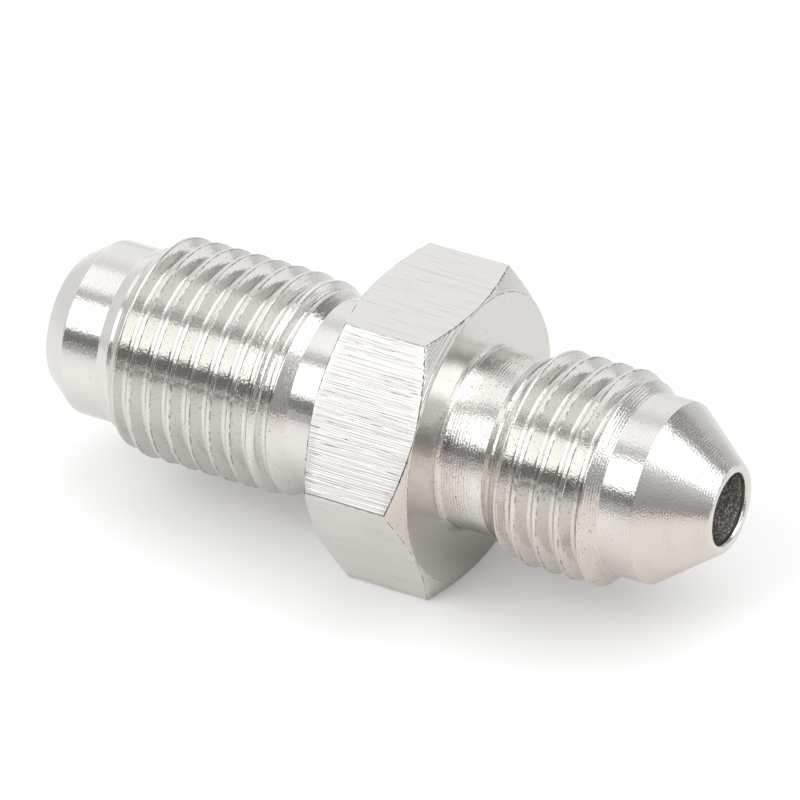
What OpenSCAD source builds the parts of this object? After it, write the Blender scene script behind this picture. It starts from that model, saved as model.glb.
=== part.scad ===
// Brake line flare adapter, male at both ends, with one hexagon between the threads.
// It is turned from one bar, so it is one piece.
// The bore runs along X, with the sealing cone at +X and the long nose at -X.
// A wrench flat faces down. Lengths are in mm, and x = 0 is the middle of the hexagon.

/* [Hexagon] */

// Width over two opposite wrench flats
hex_across_flats = 13; // [12:0.5:19]
// Length of the hexagon along the bore
hex_length = 5; // [4:0.1:9]
// Diameter of the round face that the corner chamfers leave
hex_face_diameter = 12.86; // [11:0.02:12.94]
// Slope of the corner chamfers, measured from the end face in degrees
hex_chamfer_angle = 27; // [15:1:35]

/* [Cone end] */

// Length from the hexagon to the tip of the cone
cone_end_length = 12.2; // [11.5:0.1:24]
// Outside diameter of the thread
cone_thread_diameter = 9.5; // [9.2:0.02:11]
// Distance from one crest to the next
cone_thread_pitch = 1.058; // [0.8:0.001:1.2]
// Length of the relief beside the hexagon
cone_relief_length = 2.24; // [1:0.1:4]
// Diameter of that relief
cone_relief_diameter = 7.98; // [7:0.02:8.1]
// Length over which the thread rises to full height
cone_runout_length = 1.1; // [0.8:0.1:2.5]
// Length of the chamfer that ends the thread
cone_end_chamfer = 0.66; // [0.4:0.05:1]
// Length of the plain collar
collar_length = 1.55; // [0.8:0.02:4]
// Diameter of the plain collar
collar_diameter = 8.1; // [7.4:0.02:8.2]
// Slope of the cone from the bore, in degrees
cone_angle = 37; // [30:1:45]
// Width of the rim between the cone and the bore
rim_width = 0.36; // [0.25:0.01:0.8]

/* [Nose end] */

// Length from the hexagon to the end face of the nose
nose_end_length = 15; // [13:0.1:28]
// Outside diameter of the thread
nose_thread_diameter = 9.88; // [9.7:0.02:12]
// Distance from one crest to the next
nose_thread_pitch = 1; // [0.75:0.05:1.25]
// Length of the relief beside the hexagon
nose_relief_length = 2.2; // [1:0.1:4]
// Diameter of that relief
nose_relief_diameter = 8.6; // [7.6:0.02:8.64]
// Length over which the thread rises to full height
nose_runout_length = 1.6; // [0.8:0.1:2]
// Length of the chamfer that starts the thread
nose_start_chamfer = 0.58; // [0.4:0.05:1]
// Length of the narrow band in front of the thread
band_length = 0.16; // [0.1:0.02:0.8]
// Length of the step down from that band to the nose
step_length = 0.66; // [0.3:0.05:1.2]
// Length of the cylinder of the nose
nose_length = 1.8; // [1.2:0.1:5]
// Diameter of the cylinder of the nose
nose_diameter = 7.94; // [6.8:0.02:8.2]
// Length of the chamfer on the nose
nose_chamfer = 1.3; // [0.6:0.05:1.6]
// Diameter of the end face of the nose
nose_face_diameter = 6.1; // [5.2:0.1:6.5]

/* [Threads, bore and edges] */

// Way that both threads wind; the photograph shows them left-handed
thread_hand = -1; // [-1:Left hand, 1:Right hand]

// Diameter of the bore through the whole piece
bore_diameter = 3.2; // [2.4:0.1:4]
// Radius in the corners between the hexagon and the reliefs
corner_radius = 0.3; // [0.1:0.05:0.5]
// Radius on the turned outer edges
edge_radius = 0.12; // [0.04:0.02:0.16]

/* [Hidden] */

$fn = 96;
arc_steps = 4;
// stations round one turn of a thread
stations = 48;
// a thread keeps this part of its pitch as a flat crest, between flanks at 30 degrees
crest_part = 0.18;
flank_angle = 30;
// its depth as a part of the pitch
depth_part = 0.545;
// the thread starts this much above the plain part under it
lip = 0.022;
// the least height from a plain part to the root of the thread beside it
root_rise = 0.04;
// two points closer than this along the bore are drawn as one
snap = 0.004;
// where a crest crosses the top of the piece
cone_crest_x = 5.876;
nose_crest_x = -12.95;
// where the run-outs bend: how far along from the relief, and how high.
// The last full crest of the nose thread is turned down to a dip beside the run-out.
cone_runout_bend = [0.37, 0.3];
nose_runout_bend = [0.56, 0.875];
nose_runout_dip = [0.81, 0.73];

hex_half = hex_length/2;
hex_face_r = hex_face_diameter/2;
hex_corner_r = hex_across_flats/2/cos(30);
// cutting shapes are drawn past the body by this much
past = 1;
chamfer_run = (hex_corner_r + past - hex_face_r)*tan(hex_chamfer_angle);

cone_r = cone_thread_diameter/2;
cone_relief_r = cone_relief_diameter/2;
collar_r = collar_diameter/2;
nose_thread_r = nose_thread_diameter/2;
nose_relief_r = nose_relief_diameter/2;
nose_r = nose_diameter/2;
nose_face_r = nose_face_diameter/2;
bore_r = bore_diameter/2;

// stations along the bore toward the cone end: the full thread takes the length left over
rim_r = bore_r + rim_width;
cone_length = (collar_r - rim_r)/tan(cone_angle);
cone_thread_length = max(cone_thread_pitch, cone_end_length - cone_relief_length
    - cone_runout_length - cone_end_chamfer - collar_length - cone_length);
cone_x1 = hex_half + cone_relief_length;
cone_x2 = cone_x1 + cone_runout_length;
cone_x3 = cone_x2 + cone_thread_length;
cone_x4 = cone_x3 + cone_end_chamfer;
cone_x5 = cone_x4 + collar_length;
cone_x6 = cone_x5 + cone_length;
tip_edge_radius = 0.7*rim_width;
mouth_radius = 0.5*rim_width;

// stations along the bore toward the nose end
nose_thread_length = max(nose_thread_pitch, nose_end_length - nose_relief_length
    - nose_runout_length - nose_start_chamfer - band_length - step_length
    - nose_length - nose_chamfer);
nose_x1 = -hex_half - nose_relief_length;
nose_x2 = nose_x1 - nose_runout_length;
nose_x3 = nose_x2 - nose_thread_length;
nose_x4 = nose_x3 - nose_start_chamfer;
nose_x5 = nose_x4 - band_length;
nose_x6 = nose_x5 - step_length;
nose_x7 = nose_x6 - nose_length;
nose_x8 = nose_x7 - nose_chamfer;
band_r = nose_relief_r;

function unit(v) = v/norm(v);

// the value a part of the way from one to another
function between(low, high, part) = low + (high - low)*part;

// a corner at b between a and c, rounded by an arc that touches both edges
function corner(a, b, c, radius) =
    let (u = unit(a - b), v = unit(c - b), half = acos(u*v)/2,
         back = radius/tan(half), centre = b + unit(u + v)*radius/sin(half),
         from = b + u*back - centre, to = b + v*back - centre)
    [for (i = [0:arc_steps]) let (t = i/arc_steps)
        centre + radius*unit((1 - t)*from + t*to)];

// an outline of [distance, radius, rounding] points as plain points
function rounded(outline) =
    [for (i = [0:len(outline) - 1])
        let (n = len(outline), p = outline[i],
             a = outline[(i + n - 1)%n], c = outline[(i + 1)%n], b = [p[0], p[1]])
        each p[2] == 0 ? [b] : corner([a[0], a[1]], b, [c[0], c[1]], p[2])];

// a solid turned from an outline of [distance, radius, rounding] points
module turned(outline) {
    rotate_extrude() polygon([for (p = rounded(outline)) [p[1], p[0]]]);
}

// the plain body inside the threads, with the cone and the nose
module core() {
    turned([
        [nose_x8, 0, 0],
        [nose_x8, nose_face_r, edge_radius],
        [nose_x7, nose_r, edge_radius],
        [nose_x6, nose_r, edge_radius],
        [nose_x5, band_r, edge_radius/2],
        [-hex_half, nose_relief_r, corner_radius],
        [-hex_half, nose_relief_r + 2*corner_radius, 0],
        [0, nose_relief_r + 2*corner_radius, 0],
        [0, cone_relief_r + 2*corner_radius, 0],
        [hex_half, cone_relief_r + 2*corner_radius, 0],
        [hex_half, cone_relief_r, corner_radius],
        [cone_x2, cone_relief_r, 0],
        [cone_x3, collar_r, 0],
        [cone_x5, collar_r, edge_radius],
        [cone_x6, rim_r, tip_edge_radius],
        [cone_x6, 0, 0]]);
}

module hexagon() {
    intersection() {
        rotate([0, 0, 30]) cylinder(h = hex_length, r = hex_corner_r, center = true, $fn = 6);
        turned([
            [-hex_half, 0, 0],
            [-hex_half, hex_face_r, 0],
            [-hex_half + chamfer_run, hex_corner_r + past, 0],
            [hex_half - chamfer_run, hex_corner_r + past, 0],
            [hex_half, hex_face_r, 0],
            [hex_half, 0, 0]]);
    }
}

// a screw thread as a solid that fills the piece from its axis out.
// limit holds [distance, radius] points: the turned outline that the crests stay within.
module thread(crest_r, root_r, pitch, crest_x, limit) {
    from = limit[0][0];
    to = limit[len(limit) - 1][0];
    flat = pitch*crest_part/2;
    foot = flat + (crest_r - root_r)*tan(flank_angle);
    shape = [[-foot, root_r], [-flat, crest_r], [flat, crest_r], [foot, root_r]];
    first = floor((from - crest_x)/pitch) - 2;
    last = ceil((to - crest_x)/pitch) + 2;
    rows = [for (turn = [first:last], s = shape) [crest_x + turn*pitch + s[0], s[1]]];
    count = len(rows);
    points = [for (row = rows, k = [0:stations - 1])
        let (run = row[0] + pitch*k/stations,
             x = run < from + snap ? from : run > to - snap ? to : run,
             r = min(row[1], lookup(x, limit)), a = 360*k/stations)
        [-r*cos(a), -thread_hand*r*sin(a), x]];
    // going once round leads to the same row one turn on
    function at(i, k) = k < stations ? i*stations + k : min(i + len(shape), count - 1)*stations;
    // a left-hand thread is laid out the other way round, so its faces are turned over
    function facing_out(face) =
        thread_hand > 0 ? face : [for (i = [len(face) - 1:-1:0]) face[i]];
    sides = [for (i = [0:count - 2], k = [0:stations - 1],
                  f = [[at(i, k), at(i + 1, k), at(i, k + 1)],
                       [at(i + 1, k), at(i + 1, k + 1), at(i, k + 1)]])
        if (points[f[0]] != points[f[1]] && points[f[1]] != points[f[2]]
            && points[f[2]] != points[f[0]]) facing_out(f)];
    start_face = facing_out([for (k = [0:stations - 1]) at(0, k)]);
    end_face = facing_out([for (k = [stations - 1:-1:0]) at(count - 1, k)]);
    polyhedron(points, concat(sides, [start_face, end_face]), convexity = 12);
}

module cone_thread() {
    root_r = max(cone_r - depth_part*cone_thread_pitch, collar_r + root_rise,
                 cone_relief_r + root_rise);
    thread(cone_r, root_r, cone_thread_pitch, cone_crest_x, [
            [cone_x1, cone_relief_r + lip],
            [between(cone_x1, cone_x2, cone_runout_bend[0]),
             between(cone_relief_r, cone_r, cone_runout_bend[1])],
            [cone_x2, cone_r],
            [cone_x3, cone_r],
            [cone_x4, collar_r + lip]]);
}

module nose_thread() {
    root_r = max(nose_thread_r - depth_part*nose_thread_pitch, nose_relief_r + root_rise);
    thread(nose_thread_r, root_r, nose_thread_pitch, nose_crest_x, [
            [nose_x4, nose_relief_r + lip],
            [nose_x3, nose_thread_r],
            [nose_x2, nose_thread_r],
            [between(nose_x1, nose_x2, nose_runout_dip[0]),
             between(nose_relief_r, nose_thread_r, nose_runout_dip[1])],
            [between(nose_x1, nose_x2, nose_runout_bend[0]),
             between(nose_relief_r, nose_thread_r, nose_runout_bend[1])],
            [nose_x1, nose_relief_r + lip]]);
}

// the bore, with a rounded mouth at the cone end and a small chamfer at the nose end
module bore() {
    turned([
        [nose_x8 - past, 0, 0],
        [nose_x8 - past, bore_r + mouth_radius + past, 0],
        [nose_x8 + mouth_radius, bore_r, 0],
        [cone_x6, bore_r, mouth_radius],
        [cone_x6, bore_r + 1.2*mouth_radius, 0],
        [cone_x6 + past, bore_r + 1.2*mouth_radius, 0],
        [cone_x6 + past, 0, 0]]);
}

module adapter_body() {
    color([0.80, 0.79, 0.77])
    rotate([0, 90, 0])
    difference() {
        union() {
            core();
            hexagon();
            cone_thread();
            nose_thread();
        }
        bore();
    }
}

adapter_body();
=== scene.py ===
# %% [markdown]
# A brake line adapter in Blender
#
# The real piece is turned from hexagon bar: two threads, a hexagon between them,
# a sealing cone at one end and a plain nose at the other, and a bore right through.
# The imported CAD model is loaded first. It fixes the size and the place of everything,
# and the lesson below dresses it with a finer skin and a turned-steel finish.

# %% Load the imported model
import bpy
import numpy as np
from mathutils import Matrix, Vector


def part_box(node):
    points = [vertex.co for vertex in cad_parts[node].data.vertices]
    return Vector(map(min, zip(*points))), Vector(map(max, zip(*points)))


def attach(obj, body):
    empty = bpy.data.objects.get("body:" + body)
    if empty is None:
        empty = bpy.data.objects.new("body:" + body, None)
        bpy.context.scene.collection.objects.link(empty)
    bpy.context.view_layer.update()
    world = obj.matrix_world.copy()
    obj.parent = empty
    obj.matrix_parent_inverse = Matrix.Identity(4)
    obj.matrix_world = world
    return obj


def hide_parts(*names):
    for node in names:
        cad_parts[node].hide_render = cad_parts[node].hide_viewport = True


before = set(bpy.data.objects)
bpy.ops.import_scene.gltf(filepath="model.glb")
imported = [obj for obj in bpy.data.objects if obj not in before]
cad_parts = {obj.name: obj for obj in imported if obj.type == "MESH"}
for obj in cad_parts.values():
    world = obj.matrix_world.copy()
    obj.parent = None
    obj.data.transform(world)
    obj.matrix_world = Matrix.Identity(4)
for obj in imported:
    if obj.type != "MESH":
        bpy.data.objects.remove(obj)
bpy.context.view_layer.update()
print("nodes in the CAD model:", len(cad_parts))

# %% [markdown]
# Sizes
#
# A turner works from a drawing, and so does this script: the sizes of the real piece
# in millimetres, the same as in the CAD model. x runs along the bore towards the cone
# and is 0 at the middle of the hexagon, and the other number is a radius. The scene adds
# only small things to the model: rounds on the turned edges, and hexagon faces that stand
# one degree proud towards the middle, as the reflections in the photograph ask.

# %% The drawing
MM = 0.001
FLATS = 13.0                      # hexagon over its flats
HEX_HALF = 2.5                    # half the hexagon's length
FACE_R = 6.43                     # circle that the corner chamfers leave on its faces
CHAMFER = np.radians(27)          # slope of those chamfers from the face
FACE_EDGE = FACE_R - 0.05         # where the small round at the rim of a face ends
CROWN = np.tan(np.radians(1))     # slope of the faces towards the middle
FILLET = 0.32                     # a face meets a relief's fillet so far above the relief
BORE_R = 1.6
BREAK = 0.2                       # chamfer of the bore at the nose
MOUTH = 0.3                       # length of the rounded mouth of the bore at the cone

CONE_THREAD = dict(crest=4.75, pitch=1.058, phase=6.1405)
NOSE_THREAD = dict(crest=4.94, pitch=1.0, phase=-13.70)
# stations along the bore, from the hexagon out: a run-out climbs from relief by way of
# bend to full, and the last chamfer falls from end to foot
CONE_X = dict(relief=4.74, bend=5.15, full=5.84, end=9.72, foot=10.38, cone=11.93, tip=14.70)
NOSE_X = dict(relief=-4.70, bend=-5.60, dip=-6.0, full=-6.30, end=-13.00, foot=-13.58, band=-13.74,
              step=-14.40, chamfer=-16.2, tip=-17.5)
CONE_RELIEF_R, CONE_BEND_R, COLLAR_R, RIM_R = 3.99, 4.22, 4.05, 1.96
NOSE_RELIEF_R, NOSE_BEND_R, NOSE_DIP_R, NOSE_R, NOSE_TIP_R = 4.30, 4.86, 4.77, 3.97, 3.05

# %% [markdown]
# Stations round the piece
#
# Every surface here is a grid: one direction runs round the bore, the other along it.
# All patches use the same angles, so that neighbours meet point to point. The angles
# crowd together at the six corners of the hexagon, where its edges are slightly blunt.

# %% Angles of the grid
offsets = np.array([0, 0.2, 0.4, 0.6, 1.2, 2.6, 4.8, 7.4, 10, 12.6, 15.2, 17.8, 20.4, 23, 25.4,
                    27.8, 30])
sextant = np.concatenate([offsets, 60 - offsets[-2:0:-1]])
turn = np.radians((np.arange(6)[:, None]*60 + sextant).ravel())
print("stations round the piece:", len(turn))


def hexagon_radius(angle, blunt=0.1):
    """Distance from the axis to a hexagon with corners at 0, 60, 120 ... degrees.

    On a flat it is half the width over the cosine of the angle from the flat's middle.
    Next to a corner it is the far crossing of the ray with a circle of radius blunt.
    """
    from_middle = np.abs(np.mod(angle, np.pi/3) - np.pi/6)
    from_corner = np.pi/6 - from_middle
    flat = FLATS/2/np.cos(from_middle)
    centre = (FLATS/2 - blunt)/np.cos(np.pi/6)
    reach = np.arctan2(blunt/2, centre + blunt*np.cos(np.pi/6))
    arc = centre*np.cos(from_corner) + np.sqrt(
        np.maximum(blunt**2 - (centre*np.sin(from_corner))**2, 0))
    return np.where(from_corner < reach, arc, flat)


# %% [markdown]
# Rounded outlines
#
# No edge on a turned piece is perfectly sharp, and the small round catches the light.
# An outline is written as a few corners, each with its radius, and this helper replaces
# each corner by a short arc.

# %% Round the corners of an outline
def rounded(corners, steps=4):
    """Outline points from [x, r, radius] corners.

    At a corner between unit directions u and v the arc starts radius over the tangent
    of half the angle back along each side, and its centre lies on the bisector.
    """
    corners = np.array(corners, float)
    places, out = corners[:, :2], [corners[:1, :2]]
    for before, here, after, radius in zip(places[:-2], places[1:-1], places[2:],
                                           corners[1:-1, 2]):
        if radius == 0:
            out.append(here[None])
            continue
        u = (before - here)/np.linalg.norm(before - here)
        v = (after - here)/np.linalg.norm(after - here)
        half = np.arccos(np.clip(u @ v, -1, 1))/2
        centre = here + (u + v)/np.linalg.norm(u + v)*radius/np.sin(half)
        first, last = (here + side*radius/np.tan(half) - centre for side in (u, v))
        part = np.linspace(0, 1, steps + 1)[:, None]
        spoke = (1 - part)*first + part*last
        out.append(centre + radius*spoke/np.linalg.norm(spoke, axis=1, keepdims=True))
    out.append(places[-1:])
    return np.concatenate(out)


def revolve(outline):
    """Grids of x and r for an outline turned about the bore: the same at every angle."""
    ones = np.ones(len(turn))
    return outline[:, :1]*ones, outline[:, 1:]*ones


# %% [markdown]
# The threads
#
# A screw thread is one ridge wound round the piece. Going once round moves it along by
# one pitch, so a row of the grid that follows the ridge climbs as it turns. The rows
# that would leave the threaded length are held at its ends, and the ridge is kept
# under a turned outline, which makes the start chamfer and the run-out: that is how the
# real crests fade away too, because the bar is chamfered before it is threaded. Both
# threads wind left-handed, as the photograph shows them.

# %% The ridge's profile
CREST_HALF, THREAD_DEPTH = 0.09, 0.545    # as shares of the pitch


def thread_profile(pitch, crest):
    """Points of one ridge from root to root as [along, radius].

    A 60 degree thread: flanks at 30 degrees, a crest 0.18 and a depth 0.545 of the pitch,
    and small rounds at crest and root. The bar is turned a little under the nominal
    size, which is why the crest is wider than the eighth of a pitch in the tables.
    """
    depth = THREAD_DEPTH*pitch
    flat = CREST_HALF*pitch
    foot = flat + depth*np.tan(np.radians(30))
    corners = [[-pitch/2, crest - depth, 0], [-foot, crest - depth, 0.12*pitch],
               [-flat, crest, 0.03*pitch], [-flat/2, crest, 0], [flat/2, crest, 0],
               [flat, crest, 0.03*pitch], [flat*1.3, crest - flat*0.3*3**0.5, 0],
               [foot, crest - depth, 0.12*pitch], [pitch/2, crest - depth, 0]]
    return rounded(corners, 3)[:-1]


# %% One screw thread
BLUNT = 0.035                     # width of the blunt edge where the outline cuts a crest
CLEAR = 0.4                       # height over the crests at which the outline lets go
PAINTED_CREST_DARKNESS = 0.75                       # how dark the painted shade along one edge of a crest is, at most 1


def soft_minimum(a, b, blunt):
    """The smaller of two heights, with the corner between them rounded off.

    Half of the sum less the root of the squared difference plus the square of blunt.
    """
    return (a + b - np.sqrt((a - b)**2 + blunt**2))/2


def thread(pitch, crest, phase, rise, fall):
    """Three patches for a left-hand thread under a turned outline.

    The outline climbs by the points of rise, which end at the crest's height, goes on up
    out of the way, and comes down by the points of fall. The ridge's place at an angle is
    the phase plus whole pitches, less the pitch times the angle over a full turn, and r
    is the ridge's height or the outline's, whichever is lower. In the middle the rows run
    along the ridge, so that crest and root keep their edges, and at both ends, where the
    outline cuts across the ridge, they are plain circles close together. The middle patch
    also marks the rows at one edge of the crest, where the material paints a dark line of painted
    shade.
    """
    profile = thread_profile(pitch, crest)
    rise, fall = np.array(rise), np.array(fall)
    up = rise[-1] + CLEAR*(rise[-1] - rise[-2])/(rise[-1] - rise[-2])[1]
    down = fall[0] + CLEAR*(fall[0] - fall[1])/(fall[0] - fall[1])[1]
    outline = np.vstack([rise, up, down, fall])

    def height(x):
        past_crest = np.mod((x - phase)/pitch + turn/(2*np.pi) + 0.5, 1) - 0.5
        ridge = np.interp(past_crest*pitch, profile[:, 0], profile[:, 1], period=pitch)
        limit = np.interp(x, outline[:, 0], outline[:, 1])
        return np.where(limit > crest + CLEAR/2, ridge, soft_minimum(ridge, limit, BLUNT))

    def circles(start, stop):
        count = int(np.ceil((stop - start)/BLUNT)) + 1
        return np.linspace(start, stop, count)[:, None] + 0*turn

    turns = np.arange(np.floor((up[0] - phase)/pitch), np.ceil((down[0] - phase)/pitch) + 2)
    along = (turns[:, None]*pitch + profile[:, 0]).ravel()[:, None]
    wound = np.clip(phase + along - pitch*turn/(2*np.pi), up[0], down[0])
    start, stop = circles(outline[0, 0], up[0]), circles(down[0], outline[-1, 0])
    # Painted shade: a dark line along one edge of each crest, kept off the held rows.
    painted_crest_rows = np.abs(profile[:, 0] - CREST_HALF*pitch) < 0.025*pitch
    free = (wound > up[0] + 0.03) & (wound < down[0] - 0.03)    # off the held rows
    painted_crest_shade = PAINTED_CREST_DARKNESS*np.tile(painted_crest_rows, len(turns))[:, None]*free
    return [(start, height(start), 0), (wound, height(wound), -len(profile), painted_crest_shade),
            (stop, height(stop), 0)]


# %% [markdown]
# Patches
#
# The skin is made of patches in the order of a walk along the outside and back through
# the bore. Each says which finish its faces get, because a lathe, a drill and the mill
# that drew the bar leave different marks. A patch may also carry a grid of numbers that
# are above 0 along its edges: the material darkens those in spots, as painted shade.

# %% The nose end, patch by patch
FINISHES = ["turned steel", "ringed steel", "torn steel", "sealing steel", "thread steel",
            "faced steel", "chamfered steel", "brushed flats", "drilled bore"]
patches = []              # (x grid, r grid, finish, rows that one turn skips, edge grid)


def add(finish, x, r, skip=0, edge=0):
    patches.append((x, r, FINISHES.index(finish), skip, edge + 0*x))
    print(f"{finish}: {x.shape[0]} rows from {x.min():.2f} to {x.max():.2f} mm")


add("turned steel", *revolve(rounded([
    [NOSE_X["tip"], BORE_R + BREAK, 0],
    [NOSE_X["tip"], NOSE_TIP_R, 0.14],
    [NOSE_X["chamfer"], NOSE_R, 0.3],
    [NOSE_X["step"], NOSE_R, 0.1],
    [NOSE_X["band"], NOSE_RELIEF_R, 0.06],
    [NOSE_X["foot"], NOSE_RELIEF_R, 0]])))

nose_thread = thread(
    **NOSE_THREAD,
    rise=[[NOSE_X["foot"], NOSE_RELIEF_R], [NOSE_X["end"], NOSE_THREAD["crest"]]],
    fall=[[NOSE_X["full"], NOSE_THREAD["crest"]], [NOSE_X["dip"], NOSE_DIP_R],
          [NOSE_X["bend"], NOSE_BEND_R], [NOSE_X["relief"], NOSE_RELIEF_R]])
for finish, part in zip(("thread steel", "thread steel", "torn steel"), nose_thread):
    add(finish, *part)

add("turned steel", *revolve(rounded([
    [NOSE_X["relief"], NOSE_RELIEF_R, 0],
    [-HEX_HALF - CROWN*(FACE_R - NOSE_RELIEF_R), NOSE_RELIEF_R, 0.3],
    [-HEX_HALF - CROWN*(FACE_R - NOSE_RELIEF_R - FILLET), NOSE_RELIEF_R + FILLET, 0]], 6)))

# %% [markdown]
# The hexagon
#
# The chamfer on a hexagon's corners is a shallow cone, and where it meets the flats it
# leaves the curved lines seen on every nut. Here the line is worked out: at each angle
# the cone reaches the flat's radius at its own x, and a few rows follow that place.


# %% Hexagon with chamfered corners
def blend(first, corner, last, steps):
    """Points of a quadratic curve from first to last that leans towards the corner."""
    t = np.linspace(0, 1, steps + 1)[:, None]
    mix = [(1 - t)**2, 2*t*(1 - t), t**2]
    return [sum(w*p for w, p in zip(mix, trio)) for trio in zip(first, corner, last)]


rim = hexagon_radius(turn)
fall = rim - FACE_R                          # height of the chamfer at each angle
edge_x = HEX_HALF - fall*np.tan(CHAMFER)     # where the chamfer meets the flat
soft = np.minimum(0.06, 0.35*fall)           # how far the blunt edge reaches
down = np.array([np.sin(CHAMFER), -np.cos(CHAMFER)])
edge_start = (edge_x - soft, rim)
edge_end = (edge_x + soft*down[0], rim + soft*down[1])
face_soft = np.minimum(0.04, 0.3*fall)
face_start = (HEX_HALF - face_soft*down[0], FACE_R - face_soft*down[1])
half_flat = np.linspace(0, 1, 6)[:, None]    # steps from the middle of a flat to its edge
edge = blend(edge_start, (edge_x, rim), edge_end, 4)
slope = [a + (b - a)*np.linspace(0, 1, 5)[:, None] for a, b in zip(edge_end, face_start)]
corner = blend(face_start, (HEX_HALF + 0*rim, FACE_R + 0*rim),
               (HEX_HALF + 0*rim, FACE_EDGE + 0*rim), 3)


def face(inner):
    """Rows of the face from the chamfer in to a radius, a degree proud of flat."""
    radius = np.linspace(FACE_EDGE, inner, 6)[:, None] + 0*rim
    return HEX_HALF + CROWN*(FACE_R - radius), radius


# %% Patches of the hexagon
def lines(rows, *marked):
    """A grid that is 1 along the marked rows, where two surfaces meet in an edge."""
    grid = np.zeros((rows, len(turn)))
    grid[list(marked)] = 1
    return grid


across = [np.vstack([first, then[1:]]) for first, then in zip(edge, slope)]
# Painted shade along edges: the rows where a chamfer meets the flats, the rim of each face and the
# hexagon's corners.
marked = lines(len(across[0]), 1, 2)
from_corner = np.degrees(np.arccos(np.cos(6*turn)))/6    # in degrees; turn starts at one
painted_corner_shade = np.where(from_corner < 0.3, 0.4, 0.0)      # painted shade along the corners, weaker than along the turned edges
for side, inner in ((-1, NOSE_RELIEF_R + FILLET), (1, CONE_RELIEF_R + FILLET)):
    face_x, face_r = face(inner)
    rows_x, rows_r = np.vstack([corner[0], face_x[1:]]), np.vstack([corner[1], face_r[1:]])
    if side < 0:
        add("faced steel", -rows_x[::-1], rows_r[::-1], edge=lines(len(rows_x), -2))
        add("chamfered steel", -across[0][::-1], across[1][::-1], edge=marked[::-1])
        flat_x = edge_start[0]*np.concatenate([-half_flat[::-1], half_flat[1:]])
        add("brushed flats", flat_x, rim + 0*flat_x, edge=painted_corner_shade)
    else:
        add("chamfered steel", *across, edge=marked)
        add("faced steel", rows_x, rows_r, edge=lines(len(rows_x), 1))

# %% [markdown]
# The cone end
#
# Relief, thread, collar, the cone that seals against a flared tube, and a narrow rim
# that is rounded on both sides, because the drill's mouth is broken by hand.

# %% Relief, thread, collar, cone and rim
add("ringed steel", *revolve(rounded([
    [HEX_HALF + CROWN*(FACE_R - CONE_RELIEF_R - FILLET), CONE_RELIEF_R + FILLET, 0],
    [HEX_HALF + CROWN*(FACE_R - CONE_RELIEF_R), CONE_RELIEF_R, 0.3],
    [CONE_X["relief"], CONE_RELIEF_R, 0]], 6)))

cone_thread = thread(
    **CONE_THREAD,
    rise=[[CONE_X["relief"], CONE_RELIEF_R], [CONE_X["bend"], CONE_BEND_R],
          [CONE_X["full"], CONE_THREAD["crest"]]],
    fall=[[CONE_X["end"], CONE_THREAD["crest"]], [CONE_X["foot"], COLLAR_R]])
for finish, part in zip(("ringed steel", "thread steel", "ringed steel"), cone_thread):
    add(finish, *part)

add("sealing steel", *revolve(rounded([
    [CONE_X["foot"], COLLAR_R, 0],
    [CONE_X["cone"], COLLAR_R, 0.12],
    [CONE_X["tip"], RIM_R, 0.24],
    [CONE_X["tip"], BORE_R, 0.17],
    [CONE_X["tip"] - MOUTH, BORE_R, 0]], 6)))

add("drilled bore", *revolve(np.stack([
    np.linspace(CONE_X["tip"] - MOUTH, NOSE_X["tip"] + BREAK, 40), np.full(40, BORE_R)], axis=1)))
add("turned steel", *revolve(np.array([
    [NOSE_X["tip"] + BREAK, BORE_R], [NOSE_X["tip"], BORE_R + BREAK]])))


# %% [markdown]
# From patches to one closed skin
#
# Each patch becomes quads between neighbouring rows and angles. On a thread the last
# angle joins the first one a whole turn of rows further back. Then points that share a
# place are made one, and faces that shrank to nothing at the held rows fall away.

# %% Weld the patches
def grid_points(x, r):
    """x, r and the angle as points: y is r times the cosine, z is r times the sine."""
    return np.stack([x, r*np.cos(turn), r*np.sin(turn)], axis=-1).reshape(-1, 3)


def grid_quads(rows, skip):
    """Corner numbers of the quads of a grid of rows that closes round the bore."""
    count = len(turn)
    i, k = np.meshgrid(np.arange(rows - 1), np.arange(count), indexing="ij")
    wrap = k == count - 1
    here, there = i*count + k, (i + 1)*count + k
    first, second = np.clip(i + skip, 0, rows - 1), np.clip(i + 1 + skip, 0, rows - 1)
    beside = np.where(wrap, first*count, i*count + k + 1)
    across = np.where(wrap, second*count, (i + 1)*count + k + 1)
    return np.stack([here, beside, across, there], axis=-1).reshape(-1, 4)


points, quads, finish, painted_edge_shade = [], [], [], []
for x, r, index, skip, edge in patches:
    base = sum(len(p) for p in points)
    points.append(grid_points(x, r))
    quads.append(grid_quads(len(x), skip) + base)
    finish.append(np.full(len(quads[-1]), index))
    painted_edge_shade.append(edge.ravel())
points, quads, finish, painted_edge_shade = map(np.concatenate, (points, quads, finish, painted_edge_shade))

first, same = np.unique(np.round(points, 5), axis=0, return_index=True,
                        return_inverse=True)[1:]
points, quads = points[first], same.ravel()[quads]
# Painted shade along edges: where patches share a point, the larger mark is kept.
edge = np.zeros(len(points))
np.maximum.at(edge, same.ravel(), painted_edge_shade)
distinct = np.roll(quads, 1, axis=1) != quads
corners = distinct.sum(axis=1)
print("faces:", (corners == 4).sum(), "quads,", (corners == 3).sum(), "triangles,",
      (corners < 3).sum(), "dropped")
keep = corners >= 3
quads, distinct, finish, corners = quads[keep], distinct[keep], finish[keep], corners[keep]

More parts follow.
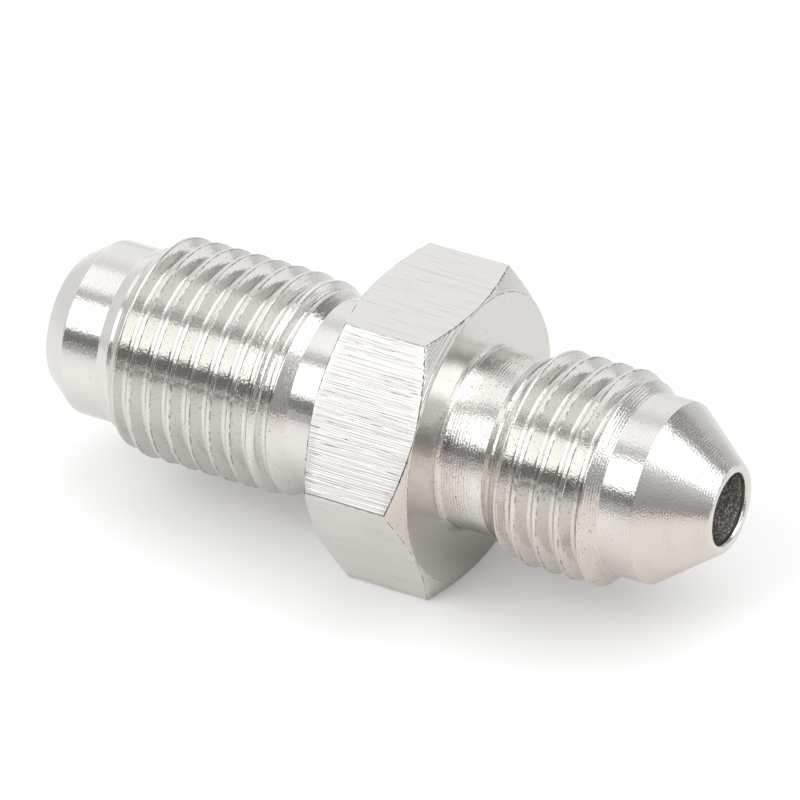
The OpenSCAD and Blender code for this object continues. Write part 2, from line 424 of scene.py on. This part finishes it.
mesh = bpy.data.meshes.new("adapter_skin")
mesh.vertices.add(len(points))
mesh.vertices.foreach_set("co", (points*MM).ravel())
loops = quads[distinct]
mesh.loops.add(len(loops))
mesh.loops.foreach_set("vertex_index", loops)
mesh.polygons.add(len(quads))
mesh.polygons.foreach_set("loop_start", np.concatenate([[0], np.cumsum(corners)[:-1]]))
mesh.polygons.foreach_set("material_index", finish)
mesh.polygons.foreach_set("use_smooth", np.ones(len(quads), bool))
mesh.update(calc_edges=True)
mesh.validate()

# The painted shade along edges reaches the material as the point attribute edge.
mesh.attributes.new("edge", "FLOAT", "POINT").data.foreach_set("value", edge)
print("points:", len(points), "faces:", len(mesh.polygons), "edges:", len(mesh.edges),
      "euler:", len(points) - len(mesh.edges) + len(mesh.polygons))

skin = bpy.data.objects.new("adapter_skin", mesh)
bpy.context.scene.collection.objects.link(skin)
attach(skin, "root")
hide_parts("adapter_body")

# %% [markdown]
# Camera
#
# The photograph was taken with a long lens from above and from the right. The camera
# stands where a pinhole model fitted to the corners and circles of the piece puts it.

# %% Camera
AZIMUTH, ELEVATION, ROLL = np.radians([29.384, 32.803, -0.637])
DISTANCE = 0.37687                # metres from the middle of the hexagon
FOCAL = 8708.5                    # focal length in pixels of the 800 pixel frame
FRAME = 800
OFF_CENTRE = (28.57, 21.30)       # where the origin falls, right and down of the middle

# directions from the piece to the camera and of the picture's right and top
back = np.array([np.sin(AZIMUTH)*np.cos(ELEVATION), -np.cos(AZIMUTH)*np.cos(ELEVATION),
                 np.sin(ELEVATION)])
right = np.array([np.cos(AZIMUTH), np.sin(AZIMUTH), 0])
up = np.cross(back, right)
right, up = (right*np.cos(ROLL) + up*np.sin(ROLL), -right*np.sin(ROLL) + up*np.cos(ROLL))
place = (back*DISTANCE - right*OFF_CENTRE[0]*DISTANCE/FOCAL + up*OFF_CENTRE[1]*DISTANCE/FOCAL)
camera_data = bpy.data.cameras.new("camera")
camera_data.sensor_width = 36
camera_data.lens = FOCAL*camera_data.sensor_width/FRAME
camera_data.clip_start, camera_data.clip_end = 0.01, 10
camera = bpy.data.objects.new("camera", camera_data)
camera.matrix_world = Matrix([[*row, p] for row, p in zip(
    np.stack([right, up, back], axis=1), place)] + [[0, 0, 0, 1]])
bpy.context.scene.collection.objects.link(camera)
bpy.context.scene.camera = camera
bpy.context.scene.view_settings.view_transform = "Standard"
print("camera at, in metres:", [round(float(v), 4) for v in place])


# %% [markdown]
# Shader maths as Python
#
# A material is a small program. This class wraps one socket, so that expressions such
# as 1 - mask or height*depth add the Math nodes they stand for.

# %% A socket that does arithmetic
class Wire:
    """One output socket. Arithmetic on it adds Math nodes to its tree."""

    def __init__(self, tree, socket=None):
        self.tree, self.socket = tree, socket

    def node(self, kind, sockets=None, out=0, stops=None, **settings):
        """Add a node: its settings, then the values or links of its sockets."""
        made = self.tree.nodes.new(kind)
        for name, value in settings.items():
            setattr(made, name, value)
        if stops:
            ramp = made.color_ramp
            while len(ramp.elements) < len(stops):
                ramp.elements.new(0.5)
            for element, (at, level) in zip(ramp.elements, stops):
                element.position, element.color = at, (level, level, level, 1)
        for name, value in (sockets or {}).items():
            if isinstance(value, Wire):
                self.tree.links.new(value.socket, made.inputs[name])
            else:
                made.inputs[name].default_value = value
        return Wire(self.tree, made.outputs[out] if made.outputs else None)

    def math(self, operation, *values):
        return self.node("ShaderNodeMath", dict(enumerate(values)), operation=operation)

    def __add__(self, other): return self.math("ADD", self, other)
    def __radd__(self, other): return self.math("ADD", other, self)
    def __sub__(self, other): return self.math("SUBTRACT", self, other)
    def __rsub__(self, other): return self.math("SUBTRACT", other, self)
    def __mul__(self, other): return self.math("MULTIPLY", self, other)
    def __rmul__(self, other): return self.math("MULTIPLY", other, self)
    def __truediv__(self, other): return self.math("DIVIDE", self, other)
    def __pow__(self, other): return self.math("POWER", self, other)


def new_tree(name):
    """A fresh material's tree, emptied, as a wire to add nodes from."""
    material = bpy.data.materials.new(name)
    material.use_nodes = True
    material.node_tree.nodes.clear()
    return material, Wire(material.node_tree)


def parts(wire, vector):
    """The three numbers of a vector as wires."""
    first = wire.node("ShaderNodeSeparateXYZ", {0: vector})
    return [Wire(wire.tree, first.socket.node.outputs[i]) for i in range(3)]


# %% [markdown]
# Steel
#
# All the finishes share one steel: a bright, slightly warm grey. What differs is the
# marks in it, so each finish only supplies three things: a height in millimetres, which
# Bump turns into tilts of the surface, a roughness, and a shade that the colour is
# multiplied with. Where the mesh is marked as an edge, the colour is darker in spots, as painted
# shade.

# %% One steel
STEEL = (0.80, 0.78, 0.75)


def steel(name, marks):
    """A steel material. marks(wire, x, r, place) gives height in mm, roughness and shade."""
    material, wire = new_tree(name)
    place = wire.node("ShaderNodeTexCoord", out=3)
    scaled = wire.node("ShaderNodeVectorMath", {0: place, 3: 1/MM}, operation="SCALE")
    x, y, z = parts(wire, scaled)
    radius = (y*y + z*z)**0.5
    height, rough, shade = marks(wire, x, radius, scaled)
    # Painted shade along the edges that the mesh marks, broken into spots.
    edge = wire.node("ShaderNodeAttribute", out=2, attribute_name="edge")
    spots = between(noise(wire, scaled, (3, 3, 3)), 0.42, 0.60)
    shade = shade*(1 - 0.8*edge*spots)
    bump = wire.node("ShaderNodeBump", {"Strength": 1.0, "Distance": MM, "Height": height})
    colour = wire.node("ShaderNodeVectorMath", {0: STEEL, 3: shade}, operation="SCALE")
    shader = wire.node("ShaderNodeBsdfPrincipled", {
        "Base Color": colour, "Metallic": 1.0, "Roughness": rough, "Normal": bump})
    wire.node("ShaderNodeOutputMaterial", {"Surface": shader})
    return material


# %% Patterns of the marks
def noise(wire, place, stretch, detail=2.0):
    """Noise from 0 to 1 with so many waves a millimetre along x, y and z."""
    spot = wire.node("ShaderNodeVectorMath", {0: place, 1: stretch}, operation="MULTIPLY")
    return wire.node("ShaderNodeTexNoise", {"Vector": spot, "Scale": 1.0, "Detail": detail,
                                            "Roughness": 0.6})


def rings(wire, x, radius, waves):
    """Noise that is the same all round the bore: the feed marks of the tool."""
    return noise(wire, wire.node("ShaderNodeCombineXYZ", {0: x, 1: radius, 2: 0.0}),
                 (waves, waves, 0))


def feed(wire, x, radius, waves):
    """From 0 to 1 and back so many times a millimetre along the outline, by a sine."""
    return wire.math("SINE", (x - radius*0.5)*(2*np.pi*waves))*0.5 + 0.5


def between(value, low, high):
    """0 up to low, 1 from high on and a straight line between them.

    Where low is the larger number, it falls from 1 at high to 0 at low.
    """
    return value.node("ShaderNodeMapRange", {0: value, 1: low, 2: high})


def pits(wire, place, waves, share):
    """1 on plain metal and down to 0.4 in pits, where a noise rises above share."""
    return 1 - 0.6*between(noise(wire, place, (waves, waves, waves), 1.0), share, share + 0.06)


# %% [markdown]
# Marks of each tool
#
# A lathe tool leaves fine rings, one for each turn of the bar. Where the feed was fast they
# are deep and even, as beside the cone's thread, and on the cone that has to seal they are
# finer. At the end of the longer thread the metal is torn. Along the flats the bar keeps
# the straight scratches of the mill that drew it. Over the rings lies a grain, which
# breaks up the edges of reflections, and here and there a small dark pit.

# %% Turned finishes
def turned(wire, x, radius, place):
    """Faint rings and grain, on the nose and the left relief."""
    grain = noise(wire, place, (12, 6, 6), 1.0)
    height = rings(wire, x, radius, 11)*0.004 + grain*0.007
    return height, 0.14, pits(wire, place, 9, 0.74)


def ringed(wire, x, radius, place):
    """Even grooves, deep in places, over broader rings, beside the cone's thread."""
    grain = noise(wire, place, (15, 11, 11), 1.0)
    deep = between(noise(wire, place, (1.5, 0.8, 0.8), 1.0), 0.35, 0.6)
    groove = feed(wire, x, radius, 7.3)*deep
    height = rings(wire, x, radius, 5)*0.012 + groove*0.0055 + grain*0.010
    return height, 0.05, (1 - 0.20*groove**3)*pits(wire, place, 9, 0.66)


def torn(wire, x, radius, place):
    """Broad deep rings, where the longer thread runs out."""
    grain = noise(wire, place, (14, 6, 6), 1.0)
    return rings(wire, x, radius, 5)*0.024 + grain*0.010, 0.05, pits(wire, place, 10, 0.68)


def sealing(wire, x, radius, place):
    """Shallow even grooves, on the collar, the cone and its rim."""
    deep = between(noise(wire, place, (1.5, 0.8, 0.8), 1.0), 0.40, 0.65)
    groove = feed(wire, x, radius, 7.3)*deep
    height = groove*0.0045 + noise(wire, place, (14, 10, 10), 1.0)*0.010
    return height, 0.11, (1 - 0.10*groove**3)*pits(wire, place, 9, 0.71)


def threaded(wire, x, radius, place):
    """A bright cut, a little darker than the rest."""
    grain = noise(wire, place, (11, 8, 8), 1.0)
    height = rings(wire, x, radius, 9)*0.005 + grain*0.0055
    return height, 0.04, 0.96*pits(wire, place, 10, 0.69)


def faced(wire, x, radius, place):
    """Very faint rings, on the faces of the hexagon."""
    height = rings(wire, x, radius, 8)*0.0025 + noise(wire, place, (5, 5, 5), 1.0)*0.003
    return height, 0.2, pits(wire, place, 9, 0.72)


def chamfered(wire, x, radius, place):
    """Close grooves over broader rings, on the corners of the hexagon."""
    groove = feed(wire, x, radius, 9)
    grain = noise(wire, place, (6, 6, 6), 1.0)
    height = groove*0.005 + rings(wire, x, radius, 6)*0.015 + grain*0.006
    return height, 0.13, (1 - 0.1*groove**3)*pits(wire, place, 10, 0.70)


# %% Finishes of the bar and the drill
def brushed(wire, x, radius, place):
    """Long thin scratches along the bore, a few of them deep, and these darker by painted shade.
    """
    scratch = noise(wire, place, (0.22, 15, 15), 1.0)
    wave = noise(wire, place, (0.2, 3, 3), 1.0)
    deep = between(noise(wire, place, (0.35, 11, 11), 1.0), 0.61, 0.67)
    # The deep scratches are cut in by the height; their darker colour is painted shade.
    return scratch*0.0020 + wave*0.002 - deep*0.005, 0.10, 1 - 0.12*deep


def drilled(wire, x, radius, place):
    """A rough wall with bright and dark specks."""
    swarf = noise(wire, place, (12, 9, 9), 3.0)
    return swarf*0.06, 0.35, 0.4 + 0.8*between(swarf, 0.5, 0.62)


# %% Materials
for name, marks in zip(FINISHES, (turned, ringed, torn, sealing, threaded, faced,
                                 chamfered, brushed, drilled)):
    mesh.materials.append(steel(name.replace(" ", "_"), marks))
print("materials:", [material.name for material in mesh.materials])

# %% [markdown]
# The studio
#
# Polished metal shows the room more than itself. The photograph's bands say what stood
# round it: a white table, a white backdrop behind, a light above, a large softbox in
# front and, between that softbox and the table's edge, the dark of the room. The world
# is painted so for glossy rays, by the angle round the piece's own axis. What a surface
# sees also depends on how far its reflection leans along the piece, so there are five
# such rooms from left to right, which fade into each other: one for what looks hard left,
# one for the threads' outer flanks, one for the cylinders, one for what looks straight
# across and one for the cone and the right face. The camera sees plain white, and
# everything matt is lit evenly.

# %% The direction of a ray
world = bpy.data.worlds.new("studio")
bpy.context.scene.world = world
world.use_nodes = True
world.node_tree.nodes.clear()
sky = Wire(world.node_tree)
ray = sky.node("ShaderNodeTexCoord", out=0)
ray_x, ray_y, ray_z = parts(sky, ray)
around = sky.math("ARCTAN2", ray_z, ray_y)/(2*np.pi)       # 0 behind, 0.25 above, 0.5 in front
around = sky.math("FRACT", around)


# %% Rooms
def band(stops):
    """A ramp round the axis from (degrees, level) pairs."""
    return sky.node("ShaderNodeValToRGB", {0: around}, stops=[(a/360, v) for a, v in stops])


far_left = (0.82, 0.82, 0.82, 1)      # the same all round
left_room = band([(0, 0.93), (38, 0.99), (62, 0.76), (74, 1.09), (98, 1.13), (111, 0.58),
                  (117, 0.72), (123, 1.55), (154, 1.73), (161, 0.25), (174, 0.25),
                  (181, 0.86), (330, 0.93), (360, 0.93)])
thread_room = band([(0, 1.12), (30, 1.12), (60, 0.90), (70, 1.35), (98, 1.35), (108, 0.45),
                    (116, 0.6), (121, 2.0), (154, 1.9), (163, 0.15), (178, 0.15), (186, 0.82),
                    (330, 0.95), (360, 1.12)])
middle_room = band([(0, 0.55), (18, 0.58), (28, 0.33), (58, 0.24), (70, 1.8), (108, 1.8),
                    (114, 0.62), (118, 0.70), (126, 1.8), (147, 1.8), (154, 0.05),
                    (171, 0.09), (181, 0.85), (330, 0.5), (360, 0.52)])
right_room = band([(0, 0.98), (16, 1.05), (28, 0.74), (40, 0.33), (50, 0.50), (60, 1.7),
                   (104, 1.7), (116, 0.75), (140, 0.50), (172, 0.34), (192, 0.5), (210, 0.80),
                   (270, 0.80), (330, 0.70), (360, 0.92)])


# %% From room to room
EVEN = 0.91                       # level at which everything matt is lit


def cross(first, last, start, stop):
    """Fade from one room to the next as a ray's x goes from start to stop."""
    side = sky.node("ShaderNodeMapRange", {0: ray_x, 1: start, 2: stop},
                    interpolation_type="SMOOTHSTEP")
    return sky.node("ShaderNodeMix", {0: side, 6: first, 7: last}, out=2, data_type="RGBA")


room = cross(far_left, thread_room, -0.88, -0.64)
room = cross(room, left_room, -0.53, -0.48)
room = cross(room, middle_room, -0.2, 0.3)
room = cross(room, right_room, 0.39, 0.43)
light_path = sky.node("ShaderNodeLightPath")
is_camera, is_glossy = (Wire(sky.tree, light_path.socket.node.outputs[name])
                        for name in ("Is Camera Ray", "Is Glossy Ray"))
colour = sky.node("ShaderNodeMix", {0: is_glossy, 6: (EVEN, EVEN, EVEN, 1), 7: room}, out=2,
                  data_type="RGBA")
colour = sky.node("ShaderNodeMix", {0: is_camera, 6: colour, 7: (1, 1, 1, 1)}, out=2,
                  data_type="RGBA")
sky.node("ShaderNodeOutputWorld", {0: sky.node("ShaderNodeBackground", {0: colour})})
print("nodes in the world:", len(world.node_tree.nodes))

# %% [markdown]
# The floor
#
# The piece lies on white paper. The camera sees the paper plain, with the shadow on it.
# The steel sees it too, and there the photograph shows more: the paper falls off in
# brightness far from the piece and towards the camera, it is warmer at the cone's end,
# and it is darker behind the piece, under the left end and most of all close under the
# cone's neck. Those changes are in the tint that every ray but the camera's finds, as
# soft ramps over the floor in millimetres. front has a ramp of its own, from the piece's
# axis to 200 mm in front of it.

# %% The paper's shape
FLOOR = 0.6                       # half its width in metres
floor_mesh = bpy.data.meshes.new("floor")
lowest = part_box("adapter_body")[0][2]
floor_mesh.from_pydata([(-FLOOR, -FLOOR, lowest), (FLOOR, -FLOOR, lowest),
                        (FLOOR, FLOOR, lowest), (-FLOOR, FLOOR, lowest)], [], [(0, 1, 2, 3)])
floor = bpy.data.objects.new("floor", floor_mesh)
bpy.context.scene.collection.objects.link(floor)
print("floor at", round(float(lowest)/MM, 3), "mm")

# %% The paper's tint, with painted shade and painted light
# The paper's colours for rays other than the camera's; the warm one is painted warm light at the
# cone's end.
WHITE, PAINTED_WARM, SEEN = (0.86, 0.86, 0.85, 1), (0.78, 0.74, 0.70, 1), (0.99, 0.99, 0.99, 1)
paper, wire = new_tree("white_paper")
place = wire.node("ShaderNodeTexCoord", out=3)
scaled = wire.node("ShaderNodeVectorMath", {0: place, 3: 1/MM}, operation="SCALE")
x, y = parts(wire, scaled)[:2]
# Painted shade and painted light, for all rays but the camera's: the ramps below dim the paper far
# from the piece and towards the camera, darken it behind the piece, under its left end and most of
# all close under the cone's neck, where shadow falls, and warm it at the cone's end.
far = between((x*x + y*y)**0.5, 15, 90)
front = wire.node("ShaderNodeValToRGB", {0: y/-200.0},
                  stops=[(0.07, 1.0), (0.17, 0.90), (0.30, 0.75), (0.50, 0.40)])
painted_shade_behind = between(y, 0, 20)*between(x, -14, -4)
painted_warm_light = between(x, -2, 12)*between(y, 8, -4)
painted_shade_left = between(x, -3, -6)*between(y, -9, -4)*between(y, 12, 4)
painted_shadow_neck = between(x, -1, 2)*between(x, 6, 3.5)*between(y, -3, 0)*between(y, 8, 4)
painted_tint = wire.node("ShaderNodeMix", {0: painted_warm_light, 6: WHITE, 7: PAINTED_WARM}, out=2, data_type="RGBA")
painted_tint = wire.node("ShaderNodeVectorMath", {0: painted_tint, 1: front}, operation="MULTIPLY")
level = (1 - 0.15*far)*(1 - 0.12*painted_shade_behind)*(1 - 0.06*painted_shade_left)*(1 - 0.35*painted_shadow_neck)
painted_tint = wire.node("ShaderNodeVectorMath", {0: painted_tint, 3: level}, operation="SCALE")
light_path = wire.node("ShaderNodeLightPath")
shade = wire.node("ShaderNodeMix", {0: light_path, 6: painted_tint, 7: SEEN}, out=2, data_type="RGBA")
wire.node("ShaderNodeOutputMaterial", {0: wire.node("ShaderNodeBsdfDiffuse", {"Color": shade})})
floor_mesh.materials.append(paper)


# %% [markdown]
# Lamps
#
# The world lights the floor evenly, which would leave hardly a shadow. Two large square
# lamps, one above and a little behind and one in front on the left, give the soft
# shadows of the photograph. The steel doesn't see them, because its room is painted.

# %% Two softboxes for the shadows
def softbox(name, place, size, watts):
    """A square lamp at place, in metres, that looks at the middle of the piece."""
    data = bpy.data.lights.new(name, "AREA")
    data.shape, data.size, data.energy = "SQUARE", size, watts
    lamp = bpy.data.objects.new(name, data)
    lamp.location = place
    lamp.rotation_euler = (-Vector(place)).to_track_quat("-Z", "Y").to_euler()
    lamp.visible_glossy = False
    bpy.context.scene.collection.objects.link(lamp)
    print(f"{name}: {watts} watts, {np.linalg.norm(place):.2f} m away")


softbox("top_light", (0.08, 0.06, 0.36), 0.36, 0.26)
softbox("front_light", (-0.10, -0.26, 0.24), 0.22, 0.42)
